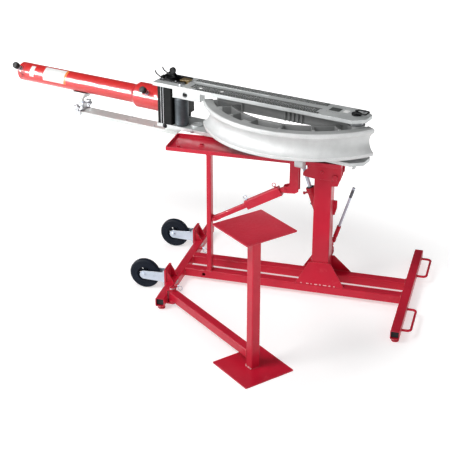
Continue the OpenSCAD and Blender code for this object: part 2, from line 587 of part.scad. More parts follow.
module support_rail() color(alu) bender() {
  difference() {
    translate([-1446, 40, 769]) cube([742, 92, 20]);
    translate([-1450, 46, 760]) cube([760, 80, 23]);
  }
  translate([-795, 46, 789]) cube([91, 80, z0 - 789]); // block under the lower plate
}
module rail_clamp() color([0.5, 0.53, 0.55]) bender() difference() {
  union() {
    translate([ws - 18, 34, 789.3]) cube([36, 104, 9.7]);
    translate([ws - 18, 34, 764]) cube([36, 5.4, 26]);
    translate([ws - 18, 132.6, 764]) cube([36, 5.4, 26]);
    translate([ws - 18, 66, 798]) cube([36, 40, 34]);
  }
  cz(ws, 86, 792, 900, 9.06);
  translate([ws, 46, 815]) cyl_y(5.06, 60);
  translate([ws, 126, 815]) cyl_y(5.06, 60);
}
module star_knob() { // along +Z from the shaft end
  cylinder(r = 5, h = 44, $fn = 32);
  translate([0, 0, 38]) cylinder(r = 9, h = 7, $fn = 48);
  translate([0, 0, 44]) rotate([0, 0, 11]) difference() { cylinder(r = 23, h = 15, $fn = 96); for (a = [36:72:324]) rotate([0, 0, a]) translate([26, 0, -1]) cylinder(r = 10.5, h = 17, $fn = 48); }
}
module front_star_knob() color(steel) bender() translate([ws, 76, 815]) rotate([90, 0, 0]) star_knob();
module rear_star_knob() color(steel) bender() translate([ws, 96, 815]) rotate([-90, 0, 0]) star_knob();
module saddle_cradle() color(alu) bender() {
  difference() {
    translate([0, 52, 0]) xz(0, 80) polygon([[ws - 45, 905], [ws - 45, 900], [ws - 22, 866], [ws + 22, 866], [ws + 45, 900], [ws + 45, 905]]);
    translate([ws, rn, rz]) cyl_x(62, 200);
  }
  cz(ws, 86, 814, 867, 9); // post
}
module saddle_pad() color(blk) bender() difference() {
  translate([ws - 50, rn, rz]) rotate([0, 90, 0]) cylinder(r = 62, h = 100, $fn = 96);
  translate([ws, rn, rz]) cyl_x(barrel_d/2 + 0.6, 300);
  translate([ws - 100, rn - 100, 906]) cube([200, 200, 200]);
}

place() crossbars();
place() long_rails();
place() pedestal_column();
place() pedestal_brackets();
place() crossbar_feet();
place() lift_handles();
place() caster_plates();
place() caster_forks();
place() caster_axles();
place() near_wheel();
place() far_wheel();
place() near_hitch_pin();
place() far_hitch_pin();
place() table_post();
place() stand_hinge_lugs();
place() stand_hinge_pin();
place() stand_arm();
place() stand_column();
place() stand_plates();
place() jack_base_ears();
place() jack_body();
place() jack_release_valve();
place() jack_ram();
place() jack_lever_socket();
place() jack_lever();
place() strut_inner_tube();
place() strut_outer_tube();
place() strut_lock_pin();
place() table_tray();
place() table_brackets();
place() hinge_bracket();
place() hinge_pin();
place() table_bolts();
place() frame_lower_plate();
place() frame_upper_plate();
place() frame_spacers();
place() ram_mount_block();
place() roller_yoke();
place() pipe_roller();
place() roller_pin();
place() frame_lock_pin();
place() chart_strips();
place() guide_block();
place() wire_springs();
place() bending_shoe();
place() shoe_bushing();
place() ram_barrel();
place() ram_collar();
place() ram_couplers();
place() rear_dust_cap();
place() front_dust_cap();
place() ram_rod();
place() crosshead();
place() angle_pointer();
place() support_rail();
place() rail_clamp();
place() front_star_knob();
place() rear_star_knob();
place() saddle_cradle();
place() saddle_pad();
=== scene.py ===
import math
import random

import bmesh
import bpy
from mathutils import Matrix, Vector


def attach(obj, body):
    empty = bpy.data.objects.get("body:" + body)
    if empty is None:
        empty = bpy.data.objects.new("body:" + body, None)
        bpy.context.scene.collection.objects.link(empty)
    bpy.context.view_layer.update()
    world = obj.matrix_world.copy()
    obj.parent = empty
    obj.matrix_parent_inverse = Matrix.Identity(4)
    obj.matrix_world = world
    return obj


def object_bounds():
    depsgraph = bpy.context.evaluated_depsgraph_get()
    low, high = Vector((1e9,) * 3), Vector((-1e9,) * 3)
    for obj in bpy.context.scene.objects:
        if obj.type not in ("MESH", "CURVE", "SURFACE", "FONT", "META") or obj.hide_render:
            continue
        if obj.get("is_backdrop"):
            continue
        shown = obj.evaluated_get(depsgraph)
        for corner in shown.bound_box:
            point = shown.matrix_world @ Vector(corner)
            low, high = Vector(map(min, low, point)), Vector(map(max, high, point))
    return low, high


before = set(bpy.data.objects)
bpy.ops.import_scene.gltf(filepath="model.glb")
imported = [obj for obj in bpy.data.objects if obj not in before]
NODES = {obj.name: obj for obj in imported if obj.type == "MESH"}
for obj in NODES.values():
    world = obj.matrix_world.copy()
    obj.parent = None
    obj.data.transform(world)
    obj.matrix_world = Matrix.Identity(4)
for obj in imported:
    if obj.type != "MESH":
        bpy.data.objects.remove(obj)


def save_bounds(key, data={}):
    lo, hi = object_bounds()
    data[key] = [[float(v) for v in lo], [float(v) for v in hi]]


save_bounds("cad")
random.seed(7)
scene = bpy.context.scene

# ---------------------------------------------------------------- places
OX, OY = 592.39, 259.15
CA, SA = math.cos(math.radians(14.75)), math.sin(math.radians(14.75))


def P(x, y, z):  # construction millimetres to metres
    return Vector(((x + OX) * 0.001, (y + OY) * 0.001, z * 0.001))


def F(s, n, z):  # along the bender frame, across it, up
    return P(-104 + CA * s + SA * n, -SA * s + CA * n, z)


FS, FN, FZ = Vector((CA, -SA, 0)), Vector((SA, CA, 0)), Vector((0, 0, 1))
ARM = math.radians(-39.8)


def S(a, b, z):  # along the stand arm, across it, up
    return P(-606 + a * math.cos(ARM) - b * math.sin(ARM), -436 + a * math.sin(ARM) + b * math.cos(ARM), z)


AJ = math.radians(19.3)


def J(a, b, c):  # jack: across, depth, along
    return P(190 + a * math.cos(AJ) - c * math.sin(AJ), 88 + b, 215 + a * math.sin(AJ) + c * math.cos(AJ))


# ---------------------------------------------------------------- materials
def lin(c):
    return tuple((v / 12.92 if v <= 0.04045 else ((v + 0.055) / 1.055) ** 2.4) for v in (x / 255 for x in c)) + (1.0,)


class Mat:
    def __init__(self, name):
        self.m = bpy.data.materials.new(name)
        self.m.use_nodes = True
        self.t = self.m.node_tree
        self.t.nodes.clear()
        self.out = self.n("ShaderNodeOutputMaterial")
        self.bsdf = self.n("ShaderNodeBsdfPrincipled")
        self.l(self.bsdf.outputs[0], self.out.inputs[0])
        self.co = self.n("ShaderNodeTexCoord").outputs["Object"]

    def n(self, kind, **kw):
        node = self.t.nodes.new(kind)
        for k, v in kw.items():
            setattr(node, k, v)
        return node

    def l(self, a, b):
        self.t.links.new(a, b)

    def noise(self, scale, detail=4, rough=0.55, stretch=None, turn=0.0):
        node = self.n("ShaderNodeTexNoise")
        node.inputs["Scale"].default_value = scale
        node.inputs["Detail"].default_value = detail
        node.inputs["Roughness"].default_value = rough
        if stretch:
            mp = self.n("ShaderNodeMapping")
            mp.inputs["Rotation"].default_value = (0, 0, turn)
            mp.inputs["Scale"].default_value = stretch
            self.l(self.co, mp.inputs[0])
            self.l(mp.outputs[0], node.inputs["Vector"])
        else:
            self.l(self.co, node.inputs["Vector"])
        return node.outputs["Fac"]

    def ramp(self, fac, a, b, lo=0.35, hi=0.65):
        node = self.n("ShaderNodeMapRange")
        node.inputs["From Min"].default_value = lo
        node.inputs["From Max"].default_value = hi
        node.inputs["To Min"].default_value = a
        node.inputs["To Max"].default_value = b
        self.l(fac, node.inputs["Value"])
        return node.outputs[0]

    def mix(self, fac, a, b):
        node = self.n("ShaderNodeMix", data_type="RGBA")
        if isinstance(fac, float):
            node.inputs["Factor"].default_value = fac
        else:
            self.l(fac, node.inputs["Factor"])
        for k, v in (("A", a), ("B", b)):
            sock = [i for i in node.inputs if i.name == k and i.type == "RGBA"][0]
            if isinstance(v, tuple):
                sock.default_value = v
            else:
                self.l(v, sock)
        return [o for o in node.outputs if o.type == "RGBA"][0]

    def edges(self, radius, lo=0.02, hi=0.25):
        bev = self.n("ShaderNodeBevel", samples=4)
        bev.inputs["Radius"].default_value = radius
        geo = self.n("ShaderNodeNewGeometry")
        dot = self.n("ShaderNodeVectorMath", operation="DOT_PRODUCT")
        self.l(bev.outputs[0], dot.inputs[0])
        self.l(geo.outputs["Normal"], dot.inputs[1])
        sub = self.n("ShaderNodeMath", operation="SUBTRACT")
        sub.inputs[0].default_value = 1.0
        self.l(dot.outputs["Value"], sub.inputs[1])
        self.bev = bev.outputs[0]
        return self.ramp(sub.outputs[0], 0.0, 1.0, lo, hi)

    def bump(self, height, strength, distance=0.001, normal=None):
        node = self.n("ShaderNodeBump")
        node.inputs["Strength"].default_value = strength
        node.inputs["Distance"].default_value = distance
        self.l(height, node.inputs["Height"])
        if normal is not None:
            self.l(normal, node.inputs["Normal"])
        return node.outputs[0]

    def put(self, name, value):
        if isinstance(value, (int, float, tuple)):
            self.bsdf.inputs[name].default_value = value
        else:
            self.l(value, self.bsdf.inputs[name])


def paint(name, base, light, dark, rough=0.3, coat=0.5, edge=0.35, radius=0.0016, peel=0.10, spec=0.3, gloss=0.09):
    """Sprayed or powder-coated metal: slow tone drift, orange peel, dust in the gloss, paler edges that are partly
    worn paint and partly a painted highlight, fine scuffs.
    """
    m = Mat(name)
    edge_mask = m.edges(radius)
    slow = m.ramp(m.noise(3.1, 3), 0.0, 1.0)
    fine = m.ramp(m.noise(60, 5), 0.0, 1.0)
    c = m.mix(slow, base, dark)
    scuff = m.ramp(m.noise(14, 8, 0.7), 0.0, 0.10, 0.60, 0.72)
    c = m.mix(scuff, c, light)
    # edges mixed towards the light colour: partly worn paint, partly a painted highlight on the corners
    wear_and_highlight = m.n("ShaderNodeMath", operation="MULTIPLY")
    m.l(edge_mask, wear_and_highlight.inputs[0])
    m.l(m.ramp(m.noise(38, 6), 0.25 * edge, edge), wear_and_highlight.inputs[1])
    c = m.mix(wear_and_highlight.outputs[0], c, light)
    m.put("Base Color", c)
    m.put("Roughness", m.ramp(fine, rough, rough + 0.12, 0.0, 1.0))
    m.put("Coat Weight", coat)
    m.put("Coat Roughness", gloss)
    m.put("Specular IOR Level", spec)
    m.put("Normal", m.bump(m.noise(420, 3), peel, 0.0006, m.bev))
    return m.m


def metal(name, base, dark, rough=0.3, metallic=1.0, stretch=None, turn=0.0, grain=0.12, radius=0.0014, edge=(0.9, 0.9, 0.9, 1), scale=1.0, grime=0.35):
    """Bare or plated metal: brushed or cast grain, blotchy roughness, grime, edges painted brighter as a painted
    highlight.
    """
    m = Mat(name)
    edge_mask = m.edges(radius)
    grain_tex = m.noise(scale, 6, 0.6, stretch, turn)
    blotch = m.ramp(m.noise(7, 5, 0.6), 0.0, 1.0)
    c = m.mix(blotch, base, dark)
    c = m.mix(m.ramp(grain_tex, 0.0, 0.35), c, dark)
    dirt = m.ramp(m.noise(24, 8, 0.72), 0.0, grime, 0.58, 0.72)
    c = m.mix(dirt, c, tuple(0.45 * v for v in dark[:3]) + (1,))
    # edges mixed towards the edge colour: a painted highlight
    soft = m.n("ShaderNodeMath", operation="MULTIPLY")
    m.l(edge_mask, soft.inputs[0])
    soft.inputs[1].default_value = 0.6
    c = m.mix(soft.outputs[0], c, edge)
    m.put("Base Color", c)
    m.put("Metallic", metallic)
    m.put("Roughness", m.ramp(m.noise(45, 5), rough, rough + 0.14, 0.3, 0.7))
    m.put("Normal", m.bump(grain_tex, grain, 0.0006, m.bev))
    return m.m


def plain(name, base, light, rough=0.5, grain=0.2, scale=300, spec=0.5, radius=0.0012):
    """Rubber, plastic, printed film: fine grain, dust and paler edges, partly rubbed wear and partly a painted
    highlight.
    """
    m = Mat(name)
    edge_mask = m.edges(radius)
    dust = m.ramp(m.noise(9, 8, 0.7), 0.0, 0.3, 0.5, 0.75)
    c = m.mix(dust, base, light)
    # edges mixed towards the paler colour: partly rubbed wear, partly a painted highlight
    soft = m.n("ShaderNodeMath", operation="MULTIPLY")
    m.l(edge_mask, soft.inputs[0])
    soft.inputs[1].default_value = 0.5
    c = m.mix(soft.outputs[0], c, light)
    m.put("Base Color", c)
    m.put("Roughness", m.ramp(m.noise(30, 4), rough, rough + 0.15))
    m.put("Specular IOR Level", spec)
    m.put("Normal", m.bump(m.noise(scale, 4), grain, 0.0008, m.bev))
    return m.m


TURN = math.radians(14.75)
MATS = {
    # base_red's pale edges (edge 0.6, radius 3 mm) are mostly a painted highlight on the rounded tube corners
    "base_red": paint("base_red", (0.58, 0.009, 0.034, 1), (0.86, 0.24, 0.28, 1), (0.48, 0.005, 0.026, 1), coat=0.18, spec=0.25, edge=0.6, radius=0.003),
    "ram_red": paint("ram_red", (0.72, 0.016, 0.016, 1), (0.86, 0.14, 0.13, 1), (0.62, 0.011, 0.012, 1), rough=0.36, coat=1.0, gloss=0.02, peel=0.02),
    "zinc_plate": metal("zinc_plate", (0.60, 0.67, 0.76, 1), (0.46, 0.52, 0.60, 1), 0.34, 0.85, scale=120, grain=0.08),
    "wheel_black": plain("wheel_black", (0.006, 0.010, 0.019, 1), (0.020, 0.028, 0.045, 1), 0.46, 0.18, 260, 0.12),
    "machined_steel": metal("machined_steel", (0.58, 0.59, 0.61, 1), (0.38, 0.39, 0.41, 1), 0.28, 1.0, stretch=(30, 30, 900), grain=0.10, scale=1.0),
    "aluminium_plate": metal("aluminium_plate", (0.66, 0.68, 0.68, 1), (0.50, 0.52, 0.52, 1), 0.36, 0.42, stretch=(10, 700, 700), turn=TURN, grain=0.10, scale=1.0, edge=(0.95, 0.95, 0.95, 1), grime=0.15),
    "black_anodised": plain("black_anodised", (0.003, 0.004, 0.004, 1), (0.022, 0.026, 0.026, 1), 0.36, 0.12, 500, 0.15),
    "dark_roller": metal("dark_roller", (0.115, 0.14, 0.155, 1), (0.035, 0.040, 0.045, 1), 0.38, 0.6, stretch=(60, 60, 1000), grain=0.12, edge=(0.3, 0.32, 0.34, 1)),
    "black_steel": plain("black_steel", (0.005, 0.005, 0.006, 1), (0.035, 0.035, 0.036, 1), 0.38, 0.15, 420, 0.2),
    "dark_label": plain("dark_label", (0.060, 0.066, 0.064, 1), (0.15, 0.16, 0.16, 1), 0.40, 0.05, 500, 0.4),
    "cast_aluminium": metal("cast_aluminium", (0.54, 0.548, 0.546, 1), (0.44, 0.450, 0.450, 1), 0.52, 0.12, scale=210, grain=0.22, radius=0.004, edge=(0.84, 0.85, 0.85, 1), grime=0.12),
    "bronze": metal("bronze", (0.52, 0.38, 0.18, 1), (0.34, 0.24, 0.11, 1), 0.32, 0.9, stretch=(40, 40, 700), grain=0.1),
    "black_rubber": plain("black_rubber", (0.012, 0.012, 0.013, 1), (0.07, 0.07, 0.075, 1), 0.62, 0.35, 240, 0.35),
    "chromed_rod": metal("chromed_rod", (0.80, 0.81, 0.83, 1), (0.62, 0.63, 0.65, 1), 0.10, 1.0, stretch=(20, 900, 900), turn=TURN, grain=0.04, grime=0.1),
    "pale_zinc": metal("pale_zinc", (0.70, 0.73, 0.71, 1), (0.54, 0.57, 0.56, 1), 0.40, 0.25, scale=90, grain=0.10, grime=0.25),
    "white_film": plain("white_film", (0.84, 0.84, 0.83, 1), (0.92, 0.92, 0.91, 1), 0.34, 0.05, 600, 0.5),
    "grey_film": plain("grey_film", (0.62, 0.62, 0.61, 1), (0.75, 0.75, 0.74, 1), 0.34, 0.05, 600, 0.5),
    "orange_film": plain("orange_film", (0.85, 0.24, 0.04, 1), (0.92, 0.42, 0.16, 1), 0.34, 0.05, 600, 0.5),
    "weld_red": paint("weld_red", (0.60, 0.05, 0.07, 1), (0.88, 0.46, 0.47, 1), (0.52, 0.02, 0.035, 1), edge=0.8, rough=0.32),
    # pale pink weld paint: a painted highlight standing in for the glints on the bead ripples
    "weld_pale": paint("weld_pale", (0.78, 0.44, 0.46, 1), (0.95, 0.74, 0.74, 1), (0.66, 0.26, 0.29, 1), edge=0.9, rough=0.28),
}



def shoe_painted_light_and_shade(mat, centre):
    """Painted light and shade in the base colour: the groove is painted lighter and the faces that point up darker,
    partly the as-cast and turned finishes and partly painted light and shade; the inner side, under the upper plate,
    is painted darker still as painted shade.
    """
    t = mat.node_tree
    bsdf = [n for n in t.nodes if n.type == "BSDF_PRINCIPLED"][0]
    link = [l for l in t.links if l.to_socket == bsdf.inputs["Base Color"]][0]
    source = link.from_socket
    t.links.remove(link)
    co = t.nodes.new("ShaderNodeTexCoord").outputs["Object"]
    sub = t.nodes.new("ShaderNodeVectorMath")
    sub.operation = "SUBTRACT"
    sub.inputs[1].default_value = centre
    t.links.new(co, sub.inputs[0])
    flat = t.nodes.new("ShaderNodeVectorMath")
    flat.operation = "MULTIPLY"
    flat.inputs[1].default_value = (1, 1, 0)
    t.links.new(sub.outputs[0], flat.inputs[0])
    dist = t.nodes.new("ShaderNodeVectorMath")
    dist.operation = "LENGTH"
    t.links.new(flat.outputs[0], dist.inputs[0])
    zone = t.nodes.new("ShaderNodeMapRange")
    for k, v in (("From Min", 0.524), ("From Max", 0.530), ("To Min", 0.52), ("To Max", 1.30)):
        zone.inputs[k].default_value = v
    t.links.new(dist.outputs["Value"], zone.inputs["Value"])
    geo = t.nodes.new("ShaderNodeNewGeometry")
    sep = t.nodes.new("ShaderNodeSeparateXYZ")
    t.links.new(geo.outputs["True Normal"], sep.inputs[0])
    up = t.nodes.new("ShaderNodeMapRange")
    for k, v in (("From Min", 0.93), ("From Max", 0.99), ("To Min", 1.0), ("To Max", 0.54)):
        up.inputs[k].default_value = v
    t.links.new(sep.outputs["Z"], up.inputs["Value"])
    mul = t.nodes.new("ShaderNodeMath")
    mul.operation = "MULTIPLY"
    t.links.new(zone.outputs[0], mul.inputs[0])
    t.links.new(up.outputs[0], mul.inputs[1])
    tone = t.nodes.new("ShaderNodeVectorMath")
    tone.operation = "SCALE"
    t.links.new(source, tone.inputs[0])
    t.links.new(mul.outputs[0], tone.inputs["Scale"])
    t.links.new(tone.outputs[0], bsdf.inputs["Base Color"])


# painted light and shade on the shoe by zone and facing
shoe_painted_light_and_shade(MATS["cast_aluminium"], NODES["bending_shoe"].matrix_world.inverted() @ F(8, 340, 984))
for name, obj in NODES.items():
    for i, sl in enumerate(obj.material_slots):
        key = (sl.material.name.split(".")[0] if sl.material else "").strip()
        hit = [k for k in MATS if key == k or key.startswith(k)]
        if not hit:
            print("NO MATERIAL FOR", name, key)
            continue
        obj.material_slots[i].material = MATS[hit[0]]


# the rail under the ram is a paler galvanised bar than the other plated pieces
NODES["support_rail"].material_slots[0].material = MATS["pale_zinc"]


# ---------------------------------------------------------------- shaping tools
def finish_mesh(name, bm, mat, body, smooth=True, angle=40):
    bmesh.ops.recalc_face_normals(bm, faces=bm.faces)
    me = bpy.data.meshes.new(name)
    bm.to_mesh(me)
    bm.free()
    if smooth:
        me.shade_smooth()
        me.set_sharp_from_angle(angle=math.radians(angle))
    ob = bpy.data.objects.new(name, me)
    scene.collection.objects.link(ob)
    me.materials.append(MATS[mat])
    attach(ob, body)
    return ob


def basis(axis):
    z = Vector(axis).normalized()
    x = Vector((1, 0, 0)) if abs(z.x) < 0.9 else Vector((0, 1, 0))
    x = (x - z * x.dot(z)).normalized()
    return x, z.cross(x), z


def lathe_into(bm, origin, axis, profile, seg=48, phase=0.0):
    """profile: (radius, height) in millimetres, closed on the axis where radius is 0."""
    x, y, z = basis(axis)
    rings = []
    for r, h in profile:
        c = origin + z * (h * 0.001)
        if r <= 1e-6:
            rings.append([bm.verts.new(c)])
        else:
            rings.append([bm.verts.new(c + (x * math.cos(phase + 2 * math.pi * i / seg) + y * math.sin(phase + 2 * math.pi * i / seg)) * (r * 0.001)) for i in range(seg)])
    for a, b in zip(rings, rings[1:]):
        if len(a) == 1 and len(b) == 1:
            continue
        for i in range(seg):
            j = (i + 1) % seg
            if len(a) == 1:
                bm.faces.new((a[0], b[i], b[j]))
            elif len(b) == 1:
                bm.faces.new((a[i], a[j], b[0]))
            else:
                bm.faces.new((a[i], a[j], b[j], b[i]))


def lathe(name, origin, axis, profile, mat, body, seg=48, angle=35):
    bm = bmesh.new()
    lathe_into(bm, origin, axis, profile, seg)
    return finish_mesh(name, bm, mat, body, True, angle)


def sweep_into(bm, pts, radius, seg=12, closed=False, wob=None):
    pts = [Vector(p) for p in pts]
    n = len(pts)
    rings = []
    up = None
    for i, p in enumerate(pts):
        a = pts[(i - 1) % n] if (closed or i > 0) else p
        b = pts[(i + 1) % n] if (closed or i < n - 1) else p
        d = (b - a).normalized()
        if up is None:
            up = basis(d)[0]
        up = (up - d * up.dot(d)).normalized()
        side = d.cross(up)
        r = (radius if wob is None else radius * wob(i)) * 0.001
        rings.append([bm.verts.new(p + (up * math.cos(2 * math.pi * k / seg) + side * math.sin(2 * math.pi * k / seg)) * r) for k in range(seg)])
    pairs = list(zip(rings, rings[1:])) + ([(rings[-1], rings[0])] if closed else [])
    for a, b in pairs:
        for k in range(seg):
            j = (k + 1) % seg
            bm.faces.new((a[k], a[j], b[j], b[k]))
    if not closed:
        bm.faces.new(rings[0])
        bm.faces.new(list(reversed(rings[-1])))


def tube(name, pts, radius, mat, body, seg=12, closed=False):
    bm = bmesh.new()
    sweep_into(bm, pts, radius, seg, closed)
    return finish_mesh(name, bm, mat, body, True, 60)


def weld(name, lines, body, radius=3.2, mat="weld_red", pitch=3.6):
    """Beads with ripples along polylines."""
    bm = bmesh.new()
    for line in lines:
        pts = [Vector(p) for p in line]
        out = []
        for a, b in zip(pts, pts[1:]):
            k = max(2, int((b - a).length * 1000 / (pitch / 3)))
            out += [a.lerp(b, i / k) for i in range(k)]
        out.append(pts[-1])
        jit = [random.uniform(0.9, 1.12) for _ in range(len(out) // 3 + 2)]
        sweep_into(bm, out, radius, 8, False, lambda i: jit[i // 3] * (1.0 if i % 3 == 1 else 0.84))
    return finish_mesh(name, bm, mat, body, True, 60)


def prism(bm, pts, height):
    """Extrudes a closed outline of Vectors by the vector height."""
    lo = [bm.verts.new(p) for p in pts]
    hi = [bm.verts.new(p + height) for p in pts]
    bm.faces.new(lo)
    bm.faces.new(list(reversed(hi)))
    n = len(pts)
    for i in range(n):
        j = (i + 1) % n
        bm.faces.new((lo[i], hi[i], hi[j], lo[j]))


def soften(ob, width, seg=2):
    b = ob.modifiers.new("edge", "BEVEL")
    b.width = width
    b.segments = seg
    b.limit_method = "ANGLE"
    b.angle_limit = math.radians(40)
    return ob


def hexhead(bm, c, axis, af, h, phase=0.0):
    """Hexagon head with a chamfered crown and a turned face below it."""
    x, y, z = basis(axis)
    r = af / math.sqrt(3)
    lathe_into(bm, c, axis, [(0, 0), (af * 0.5, 0), (af * 0.5, 0.8), (0, 0.8)], 32)
    c0 = c + z * 0.0008
    low = [bm.verts.new(c0 + (x * math.cos(phase + math.pi / 3 * i) + y * math.sin(phase + math.pi / 3 * i)) * r * 0.001) for i in range(6)]
    mid = [bm.verts.new(v.co + z * (h - 1.6) * 0.001) for v in low]
    top = [bm.verts.new(c0 + (x * math.cos(phase + math.pi / 3 * i) + y * math.sin(phase + math.pi / 3 * i)) * (r - af * 0.09) * 0.001 + z * (h - 0.8) * 0.001) for i in range(6)]
    bm.faces.new(low)
    bm.faces.new(list(reversed(top)))
    for a, b in ((low, mid), (mid, top)):
        for i in range(6):
            j = (i + 1) % 6
            bm.faces.new((a[i], b[i], b[j], a[j]))


def bolts(name, places, axis, af, h, body, mat="machined_steel", washer=True):
    bm = bmesh.new()
    for k, c in enumerate(places):
        if washer:
            lathe_into(bm, c, axis, [(0, 0), (af * 0.95, 0), (af * 0.98, 0.4), (af * 0.98, 1.6), (af * 0.92, 2.0), (0, 2.0)], 40)
            c = c + basis(axis)[2] * 0.0020
        hexhead(bm, c, axis, af, h, 0.3 + k)
    return finish_mesh(name, bm, mat, body, True, 25)


def capscrews(name, places, axis, r, h, body, mat="black_steel"):
    """Round socket heads with a hexagon socket in the crown."""
    bm = bmesh.new()
    x, y, z = basis(axis)
    for k, c in enumerate(places):
        lathe_into(bm, c, axis, [(0, 0), (r, 0), (r, h - 1), (r - 1, h), (r * 0.60, h)], 40)
        rim = [v for v in bm.verts][-40:]
        hexa = [bm.verts.new(c + (x * math.cos(math.pi / 3 * i + k) + y * math.sin(math.pi / 3 * i + k)) * r * 0.52 * 0.001 + z * h * 0.001) for i in range(6)]
        deep = [bm.verts.new(v.co - z * h * 0.55 * 0.001) for v in hexa]
        for i in range(6):
            j = (i + 1) % 6
            bm.faces.new((hexa[i], hexa[j], deep[j], deep[i]))
        bm.faces.new(deep)
        # flat ring between the round edge and the socket
        for i in range(40):
            a, b = rim[i], rim[(i + 1) % 40]
            ha = min(hexa, key=lambda v: (v.co - a.co).length)
            hb = min(hexa, key=lambda v: (v.co - b.co).length)
            if ha is hb:
                bm.faces.new((a, b, ha))
            else:
                bm.faces.new((a, b, hb, ha))
    return finish_mesh(name, bm, mat, body, True, 30)


# the glb's smooth curved faces get a small real edge break where the corners are sharp
TUBES = ("crossbars", "long_rails", "stand_arm", "stand_column", "table_post", "pedestal_column")
BREAK = {"base_red": 0.0011, "ram_red": 0.0012, "aluminium_plate": 0.0012, "cast_aluminium": 0.0022, "black_anodised": 0.0012}
for name, obj in NODES.items():
    key = obj.material_slots[0].material.name if obj.material_slots else ""
    if key in BREAK and name not in ("chart_strips",):
        w = obj.modifiers.new("weld", "WELD")
        w.merge_threshold = 0.00002
        soften(obj, 0.0026 if name in TUBES else BREAK[key], 3 if name in TUBES else 2)
        obj.modifiers["edge"].harden_normals = True

# ---------------------------------------------------------------- base
zt, zc = 73.0, 22.0
lines = []
for x in (-635.5, 635.5):
    for y0, y1 in ((-110, -51), (51, 110)):
        lines.append([P(x, y0, 26), P(x, y0, 70), P(x, y0 + 2, zt - 0.5), P(x, y1 - 2, zt - 0.5), P(x, y1, 70), P(x, y1, 26)])
weld("weld_rails", lines, "base")
weld("weld_pedestal", [[P(107, s * 51, 25), P(107, s * 51, 72)] for s in (-1, 1)] + [[P(205, s * 51, 25), P(205, s * 51, 72)] for s in (-1, 1)], "base", 3.0)
# pale dashes along the gusset weld: painted highlight on the bead ripples
weld("weld_dashes", [[P(x, -106.5, 76), P(x + d, -106.5, 76)] for x, d in ((58, 9), (92, 14), (118, 7), (140, 16), (168, 10), (190, 20), (222, 12), (250, 8))], "base", 4.2, "weld_pale", pitch=3.0)
g0, g1, gz = 51 + 54, 51, 191.5
weld("weld_gussets", [[P(30, s * g0, 75), P(311, s * g0, 75)] for s in (-1, 1)] + [[P(108, s * 52.5, 190), P(204, s * 52.5, 190)] for s in (-1, 1)], "base", 3.0)
weld("weld_post", [[P(-502, -108, 73.5), P(-475, -108, 73.5), P(-475, -57, 73.5), P(-502, -57, 73.5), P(-502, -108, 73.5)]], "base", 2.6)
weld("weld_ears", [[P(205.5, s * 40 - 5 * s * 0, 672), P(205.5, s * 40, 750)] for s in (-1, 1)], "base", 2.6)
weld("weld_handles", [[P(686.5, y, 48) + Vector((0, math.cos(a) * 0.0085, math.sin(a) * 0.0085)) for a in [i * math.pi / 12 for i in range(25)]] for y in (320 - 114, 320 + 114, -318 - 117, -318 + 117)], "base", 2.0, pitch=3.0)
weld("weld_caster_plates", [[P(-686.5, y - 50, 48), P(-686.5, y - 50, 71)] for y in (-258, 300)] + [[P(-686.5, y + 50, 48), P(-686.5, y + 50, 71)] for y in (-258, 300)], "base", 2.6)
weld("weld_stand_lugs", [[P(-634.5, -458, 74.0), P(-634.5, -414, 74.0)]], "base", 2.6)
weld("weld_jack_plate", [[P(162, 52, 200), P(206, 52, 200)]], "base", 2.4)
# pale dashes round the column foot: painted highlight on the bead ripples
weld("weld_foot_dashes", [[S(777 - 28.5, b, 8), S(777 - 28.5, b + d, 8)] for b, d in ((-26, 9), (-10, 12), (9, 14))] + [[S(777 + a, -28.5, 8), S(777 + a + d, -28.5, 8)] for a, d in ((-22, 8), (-4, 13), (16, 8))], "stand", 4.4, "weld_pale", pitch=3.0)
# black rubber plates inside the open crossbar ends: painted shade standing in for the dark inside of the tubes
for k, (x, y, sgn) in enumerate(((-660.5, -502, -1), (660.5, -502, -1), (-660.5, 502, 1), (660.5, 502, 1))):
    bm = bmesh.new()
    ring = [(x - 19, 30), (x + 19, 30), (x + 22, 33), (x + 22, 62), (x + 19, 65), (x - 19, 65), (x - 22, 62), (x - 22, 33)]
    prism(bm, [P(a, y - sgn * 14, b) for a, b in ring], Vector((0, sgn * 0.004, 0)))
    soften(finish_mesh("tube_plug_%d" % k, bm, "black_rubber", "base", False), 0.0008)

# pads under the four feet
for k, (x, y) in enumerate(((-660.5, -470), (-660.5, 470), (660.5, -470), (660.5, 470))):
    lathe("foot_ring_%d" % k, P(x, y, 6), (0, 0, 1), [(12.2, 0), (16, 0), (17, 0.6), (16.5, 2.4), (13, 5.5), (12.2, 6)], "weld_red", "base")

# retaining chains of the hitch pins
for k, y in enumerate((-310, 190)):
    body = ("near_hitch_pin", "far_hitch_pin")[k]
    bm = bmesh.new()
    for i in range(5):
        c = P(-686 - 1.0 + 62 + 0 * i, y + 4 + i * 7.5, 76.5 + 1.2 * (i % 2))
        ring = []
        for a in range(20):
            t = 2 * math.pi * a / 20
            u, v = 5.6 * math.cos(t), 3.4 * math.sin(t)
            ring.append(c + Vector((v * 0.001 if i % 2 == 0 else 0.0, u * 0.001, 0.0 if i % 2 == 0 else v * 0.001)))
        sweep_into(bm, ring, 1.1, 8, True)
    finish_mesh("pin_chain_%d" % k, bm, "machined_steel", "base", True, 60)

